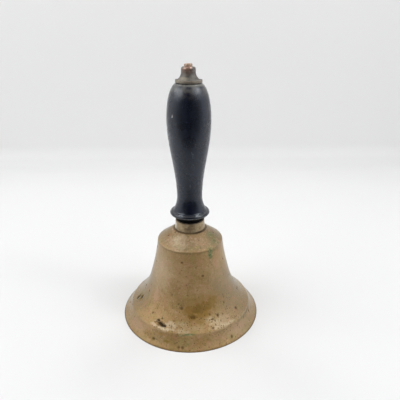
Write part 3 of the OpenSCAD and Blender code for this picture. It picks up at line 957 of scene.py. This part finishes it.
cap_run = joined(
    straight((HOLE_R, HANDLE_TOP), (FLANGE_R - FLANGE_EDGE, HANDLE_TOP), 0.9),
    soft((HOLE_R, HANDLE_TOP), (FLANGE_R, HANDLE_TOP), (FLANGE_R, FLANGE_TOP), FLANGE_EDGE),
    straight((FLANGE_R, HANDLE_TOP + FLANGE_EDGE), (FLANGE_R, FLANGE_TOP - FLANGE_EDGE), 0.3),
    soft((FLANGE_R, HANDLE_TOP), (FLANGE_R, FLANGE_TOP), (CAP_FOOT_R, FLANGE_TOP), FLANGE_EDGE),
    cove((CAP_FOOT_R, FLANGE_TOP), (CAP_R, CAP_FLARE_TOP), 18),
    straight((CAP_R, CAP_FLARE_TOP), (CAP_R, CAP_TOP - CAP_ROUND), 0.35),
    soft((CAP_R, CAP_FLARE_TOP), (CAP_R, CAP_TOP), (HOLE_R, CAP_TOP), CAP_ROUND, 9),
    straight((CAP_R - CAP_ROUND, CAP_TOP), (HOLE_R, CAP_TOP), 0.3),
    straight((HOLE_R, CAP_TOP), (HOLE_R, HANDLE_TOP), 2.4)[:-1])
cap_form = Turning(cap_run, CAP_SIDES, grain=1.2)
outer_cap = (cap_form.r > HOLE_R + 0.3) & (cap_form.z > HANDLE_TOP + 0.1)
cap_form.lift += outer_cap * (0.10 * cap_form.cloud(5, 2, 6.5) + 0.05 * cap_form.cloud(1.4, 2, 2.5))
# Painted shadow: a dark line at the foot of the cap's flare, towards the right
foot_shadow = outer_cap * cap_form.toward(48) * hump(cap_form.length_from(CAP_FOOT_R, FLANGE_TOP + 0.4), 1.8)
# Tarnish, with painted shade in the foot line and in the spot under the flange's right
tarnish_and_shade = np.maximum.reduce([
    blur_step(cap_form.cloud(3.0, 3, 4.4), -0.1, 0.6),
    foot_shadow,
    cap_form.spot(10, 194.2, 5.0, 2.6, 0.5),
    cap_form.spot(-34, 194.6, 3.0, 2.0, 0.5),
    # Painted shadow under the flange on the right
    cap_form.spot(28, 190.2, 3.6, 0.9, 0.4),
    cap_form.spot(8, 196.4, 4.4, 2.2, 0.3)])
copper_side = np.maximum.reduce([
    cap_form.spot(-8, 200.2, 3.4, 3.6, 0.4),
    0.3 * cap_form.spot(-6, 197.4, 3.6, 2.6, 0.4),
    0.35 * cap_form.spot(-62, 198.6, 3.0, 2.2, 0.4)])
# Painted highlights, partly wear: a light line round the flange's top edge and a pale patch on its left
rub_and_rim_light = np.maximum(
    (1 - 0.8 * foot_shadow) * hump(cap_form.length_from(FLANGE_R, FLANGE_TOP - 0.8), 0.9),
    0.7 * cap_form.spot(-34, 192.6, 5.0, 1.6, 0.4))
glossy = outer_cap * blur_step(cap_form.z, *GLOSSY_FROM)
cap_form.mark("marks", outer_cap * tarnish_and_shade, outer_cap * copper_side, outer_cap * rub_and_rim_light)
cap_form.mark("finish", glossy, glossy, glossy)


def bent_up(place):
    """Bends the flange up at both sides, and in at the left."""
    x, y, z = place[..., 0], place[..., 1], place[..., 2]
    near = (1 - blur_step(z, FLANGE_TOP + 0.2, FLANGE_TOP + 3)) * blur_step(np.hypot(x, y), 3.2, FLANGE_R)
    lift = np.where(x < 0, BENT_LEFT, BENT_RIGHT) * np.clip(np.abs(x) / FLANGE_R, 0, 1) ** 1.5
    place[..., 2] += lift * near * blur_step(z, HANDLE_TOP, FLANGE_TOP)
    place[..., 0] += BENT_IN * near * blur_step(-x, 2.0, FLANGE_R)
    return place


cap = cap_form.mesh("finial_cap_turning", bent_up)

bronze = Paint("dark_bronze")
tarnish_and_shade_share, coppered, rub_and_rim_light_share = bronze.marks("marks")
gloss, _, _ = bronze.marks("finish")
coarse = bronze.noise(2.6, 5, 0.62, 0.4)
fine = bronze.noise(0.7, 3, 0.6)
tone = bronze.coats(
    bronze.ramp(coarse, (0.32, (82, 76, 72)), (0.5, (101, 96, 91)), (0.68, (120, 115, 109))),
    # Tarnish and painted shade
    ((tarnish_and_shade_share, 0.62), (64, 61, 54)),
    # Rubbed metal and painted highlights
    ((rub_and_rim_light_share, 0.8), (144, 134, 116)),
    ((coppered, 0.78), (166, 130, 113)),
    ((bronze.specks(1.1, 0.22, 0.35), 0.6), (54, 44, 36)))
bronze.set(
    Base_Color=tone,
    Metallic=0.4,
    Specular_IOR_Level=0.7,
    Roughness=bronze.blend(gloss, bronze.range(coarse, 0.3, 0.7, 0.40, 0.52), 0.2),
    Normal=bronze.relief((coarse, 0.12), (fine, 0.06)))
wear(cap, bronze)
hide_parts("finial_cap")
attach(cap, "frame")


# Rod, hammered over on top of the cap, with its collar and eye inside the bell

def tube_ring(name, radius, bar, height, rings, sides):
    """An upright ring of round bar with its axis along Y."""
    a = np.linspace(0, 2 * math.pi, rings, endpoint=False)[:, None]
    b = np.linspace(0, 2 * math.pi, sides, endpoint=False)[None, :]
    out = radius + bar * np.cos(b)
    deep = np.broadcast_to(bar * np.sin(b), (rings, sides))
    place = np.stack([out * np.sin(a), deep, height + out * np.cos(a)], -1)
    first = np.arange(rings * sides).reshape(rings, sides)
    c, d = np.roll(first, -1, 0), np.roll(first, -1, 1)
    faces = np.stack([first, d, np.roll(c, -1, 1), c], -1)
    return placed(name, meshed(name, place, faces))


rod_run = joined(
    straight((0, EYE_H + EYE_R), (SHANK_R, EYE_H + EYE_R), 0.8),
    straight((SHANK_R, EYE_H + EYE_R), (SHANK_R, STOP_UNDER), 0.5),
    straight((SHANK_R, STOP_UNDER), (STOP_R - 0.2, STOP_UNDER), 0.6),
    soft((SHANK_R, STOP_UNDER), (STOP_R, STOP_UNDER), (STOP_R, WASHER_UNDER), STOP_EDGE),
    straight((STOP_R, STOP_UNDER + 0.5), (STOP_R, WASHER_UNDER), 0.7),
    straight((STOP_R, WASHER_UNDER), (ROD_R, WASHER_UNDER), 1.0),
    straight((ROD_R, WASHER_UNDER), (ROD_R, CAP_TOP), 8),
    straight((ROD_R, CAP_TOP), (RIVET_R, CAP_TOP), 0.3),
    straight((RIVET_R, CAP_TOP), (RIVET_R, RIVET_TOP - RIVET_EDGE), 0.2),
    soft((RIVET_R, CAP_TOP), (RIVET_R, RIVET_TOP), (0, RIVET_TOP), RIVET_EDGE, 9),
    straight((RIVET_R - RIVET_EDGE, RIVET_TOP), (0, RIVET_TOP), 0.25))
rod_form = Turning(rod_run, ROD_SIDES, solid=True)
on_top = (rod_form.z > CAP_TOP + 0.2) & (rod_form.r > 0.01)
flats = 0.06 * np.cos(4 * rod_form.turn + 0.9) + 0.04 * np.cos(5 * rod_form.turn + 2.0)
hammered = 0.12 * rod_form.cloud(1.6, 2, 3.3) + flats * (rod_form.r > 1.6)
rod_form.lift += on_top * hammered * blur_step(rod_form.r, 0, 0.8)
rod = rod_form.mesh("rod_shaft")
eye = tube_ring("rod_eye", EYE_R, EYE_BAR_R, EYE_H, 56, 24)
union = rod.modifiers.new("eye", "BOOLEAN")
union.operation = "UNION"
union.solver = "EXACT"
union.object = eye
bpy.context.view_layer.update()
whole = bpy.data.meshes.new_from_object(rod.evaluated_get(bpy.context.evaluated_depsgraph_get()))
rod.modifiers.clear()
rod.data = whole
whole.shade_smooth()
bpy.data.objects.remove(eye)

copper_rod = Paint("dull_copper")
coarse = copper_rod.noise(1.8, 5, 0.62, 0.4)
fine = copper_rod.noise(0.6, 3, 0.6)
blot = copper_rod.noise(2.4, 2, 0.5)
tone = copper_rod.coats(
    copper_rod.ramp(coarse, (0.32, (150, 121, 100)), (0.5, (176, 147, 125)), (0.68, (196, 171, 153))),
    (copper_rod.range(blot, 0.58, 0.68, 0, 0.14), (92, 70, 54)))
copper_rod.set(
    Base_Color=tone,
    Metallic=0.2,
    Roughness=copper_rod.range(coarse, 0.3, 0.7, 0.38, 0.55),
    Normal=copper_rod.relief((coarse, 0.12), (fine, 0.05)))
wear(rod, copper_rod)
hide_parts("tie_rod")
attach(rod, "frame")


# Washer, ring, stem and ball inside the bell, with rust and the ball's polished striking band

BALL_H = 13.2


def iron(name, rusty, band=None):
    """Iron with more rust as rusty grows, polished round the height of the band."""
    paint = Paint(name)
    coarse = paint.noise(4.0, 5, 0.6, 0.4)
    fine = paint.noise(0.9, 4, 0.6)
    scale = paint.noise(1.8, 3, 0.6, 0.8)
    rust = paint.ramp(fine, (0.35, (78, 46, 28)), (0.52, (112, 68, 40)), (0.68, (146, 94, 58)))
    spread = paint.range(scale, 0.62 - 0.25 * rusty, 0.74 - 0.25 * rusty)
    tone = paint.ramp(coarse, (0.32, (58, 54, 50)), (0.5, (84, 79, 73)), (0.68, (108, 102, 94)))
    tone = paint.coats(tone, (spread, rust))
    rough = paint.plus(paint.range(coarse, 0.3, 0.7, 0.42, 0.58), paint.times(spread, 0.3))
    metal = paint.range(spread, 0, 1, 0.85, 0.1)
    if band:
        away = paint.math("ABSOLUTE", paint.math("SUBTRACT", paint.height(), band * MM))
        polished = paint.times(paint.range(away, 3.6 * MM, 1.2 * MM), paint.range(scale, 0.34, 0.5))
        tone = paint.coats(tone, (polished, (170, 164, 154)))
        rough = paint.blend(polished, rough, 0.3)
        metal = paint.blend(polished, metal, 0.95)
    relief = paint.relief((scale, 0.12), (fine, 0.08))
    paint.set(Base_Color=tone, Metallic=metal, Roughness=rough, Normal=relief)
    return paint


wear(nodes["crown_washer"], iron("washer_iron", 0.4))
wear(nodes["clapper_ring"], iron("ring_iron", 0.25))
wear(nodes["clapper_stem"], iron("stem_iron", 0.5))
wear(nodes["clapper_ball"], iron("ball_iron", 0.6, BALL_H))


# Floor and surroundings, in metres

TABLE_HALF = 0.24
TABLE_WIDE = 0.9
CURVE_AT = 0.38
CURVE_R = 0.04
WALL_AT = 0.42
WALL_HEIGHTS = (0.5, 1.2)

# The paper's grey, by the distance behind the bell: painted shade, darker towards the front, a little darker
# in the curve and lighter on the wall
GREY_AT = (-0.24, -0.1, 0.0, 0.1, 0.2, 0.3, 0.38, 0.391, 0.4, 0.411, 0.419, 0.42)
GREY = (0.68, 0.72, 0.74, 0.755, 0.77, 0.785, 0.77, 0.765, 0.757, 0.785, 0.885, 0.895)


def sweep():
    """A table that ends in front of the bell and rises softly to a wall behind it.

    It is open under the bell's mouth, so that the inside can be seen from below.
    """
    side = np.linspace(-TABLE_HALF, TABLE_HALF, 13)
    border = [(x, -TABLE_HALF) for x in side]
    border += [(TABLE_HALF, y) for y in side[1:]]
    border += [(x, TABLE_HALF) for x in side[-2::-1]]
    border += [(-TABLE_HALF, y) for y in side[-2:0:-1]]
    hole_r = (RIM[0] - 0.2) * MM
    mouth = [(hole_r * x / math.hypot(x, y), hole_r * y / math.hypot(x, y)) for x, y in border]
    points = []
    faces = []

    def sheet(grid, closed=False):
        first, across = len(points), len(grid[0])
        for line in grid:
            points.extend(line)
        for i in range(len(grid) - 1):
            for j in range(across if closed else across - 1):
                a = first + i * across + j
                b = first + i * across + (j + 1) % across
                faces.append((a, b, b + across, a + across))

    def ring(t):
        return [(x + (u - x) * t, y + (v - y) * t, 0.0) for (x, y), (u, v) in zip(border, mouth)]

    sheet([ring(t) for t in np.linspace(0, 1, 14)], closed=True)
    for low, high in ((-TABLE_WIDE, -TABLE_HALF), (TABLE_HALF, TABLE_WIDE)):
        sheet([[(low, y, 0.0), (high, y, 0.0)] for y in side])
    path = [(y, 0.0) for y in np.linspace(TABLE_HALF, CURVE_AT, 5)]
    for a in np.linspace(0.12, math.pi / 2, 14):
        path.append((CURVE_AT + CURVE_R * math.sin(a), CURVE_R - CURVE_R * math.cos(a)))
    path += [(WALL_AT, z) for z in WALL_HEIGHTS]
    sheet([[(x, y, z) for x in (-TABLE_WIDE, *side, TABLE_WIDE)] for y, z in path])
    data = bpy.data.meshes.new("table_and_wall")
    data.from_pydata(points, [], faces)
    data.shade_smooth()
    shade = data.attributes.new("shade", "FLOAT_COLOR", "POINT")
    for corner, (_, y, _) in zip(shade.data, points):
        corner.color = [np.interp(y, GREY_AT, GREY)] * 3 + [1]
    return placed("table_and_wall", data)


table = sweep()
paper = Paint("pale_paper")
paper.set(Base_Color=paper.add("Attribute", attribute_name="shade").outputs["Color"], Roughness=0.6)
behind = paper.add("NewGeometry").outputs["Backfacing"]
seen = paper.add("LightPath").outputs["Is Camera Ray"]
clear = paper.add("BsdfTransparent").outputs[0]
shaders = {0: paper.times(behind, seen), 1: paper.bsdf.outputs[0], 2: clear}
one_sided = paper.add("MixShader", shaders)
paper.feed(paper.out.inputs[0], one_sided.outputs[0])
wear(table, paper)

world = bpy.data.worlds.new("studio")
bpy.context.scene.world = world
world.use_nodes = True

# Bright all round, and dark only low in front, where the room beyond the table is
FRONT = Vector((0.0, -1.0, -0.05)).normalized()
TALLER = (1.0, 1.0, 1.25)
SKY_COLOUR = (0.985, 0.992, 1.0, 1.0)
SKY_SEEN = 0.8
sky = Nodes(world.node_tree)
way = sky.add("TexCoord").outputs["Generated"]
raised = sky.add("VectorMath", {0: way, 1: TALLER}, operation="MULTIPLY")
level = sky.add("VectorMath", {0: raised.outputs[0]}, operation="NORMALIZE")
ahead = sky.add("VectorMath", {0: level.outputs[0], 1: FRONT}, operation="DOT_PRODUCT")
room = sky.range(ahead.outputs["Value"], 0.05, 0.80, 1.01, 0.14)
split = sky.add("SeparateXYZ", {0: way})
middle_of_room = sky.range(sky.math("ABSOLUTE", split.outputs[0]), 0.12, 0.42, 0.64, 0.0)
in_front = sky.range(split.outputs[1], -0.04, -0.36)
open_part = sky.math("SUBTRACT", 1.0, sky.times(middle_of_room, in_front))
shaded = sky.math("MULTIPLY", room, open_part, clamp=False)
seen = sky.add("LightPath").outputs["Is Camera Ray"]
glow = sky.add("Background", {"Color": SKY_COLOUR, "Strength": sky.blend(seen, shaded, SKY_SEEN)})
sky.add("OutputWorld", {"Surface": glow.outputs[0]})


def softbox(name, azimuth, elevation, distance, width, height, power):
    """A soft lamp that looks at the middle of the bell; angles are in degrees, lengths in metres."""
    light = bpy.data.lights.new(name, "AREA")
    light.shape = "ELLIPSE"
    light.size = width
    light.size_y = height
    light.energy = power
    lamp = placed(name, light)
    a, e = math.radians(azimuth), math.radians(elevation)
    aim = Vector((0, 0, 0.1))
    way = Vector((math.sin(a) * math.cos(e), -math.cos(a) * math.cos(e), math.sin(e)))
    lamp.location = aim + distance * way
    lamp.rotation_euler = (lamp.location - aim).to_track_quat("Z", "Y").to_euler()


softbox("softbox_left", -76, 37, 0.9, 1.0, 0.44, 3.3)
softbox("softbox_right", 63, 42, 0.9, 0.8, 0.46, 2.45)
softbox("window_right", 68, 45, 0.9, 0.15, 0.15, 0.8)
softbox("back_light_left", -140, 58, 0.7, 0.16, 0.12, 0.5)
softbox("back_light_right", 138, 64, 0.7, 0.16, 0.12, 0.6)

bpy.context.scene.view_settings.view_transform = "Standard"

bpy.context.view_layer.update()
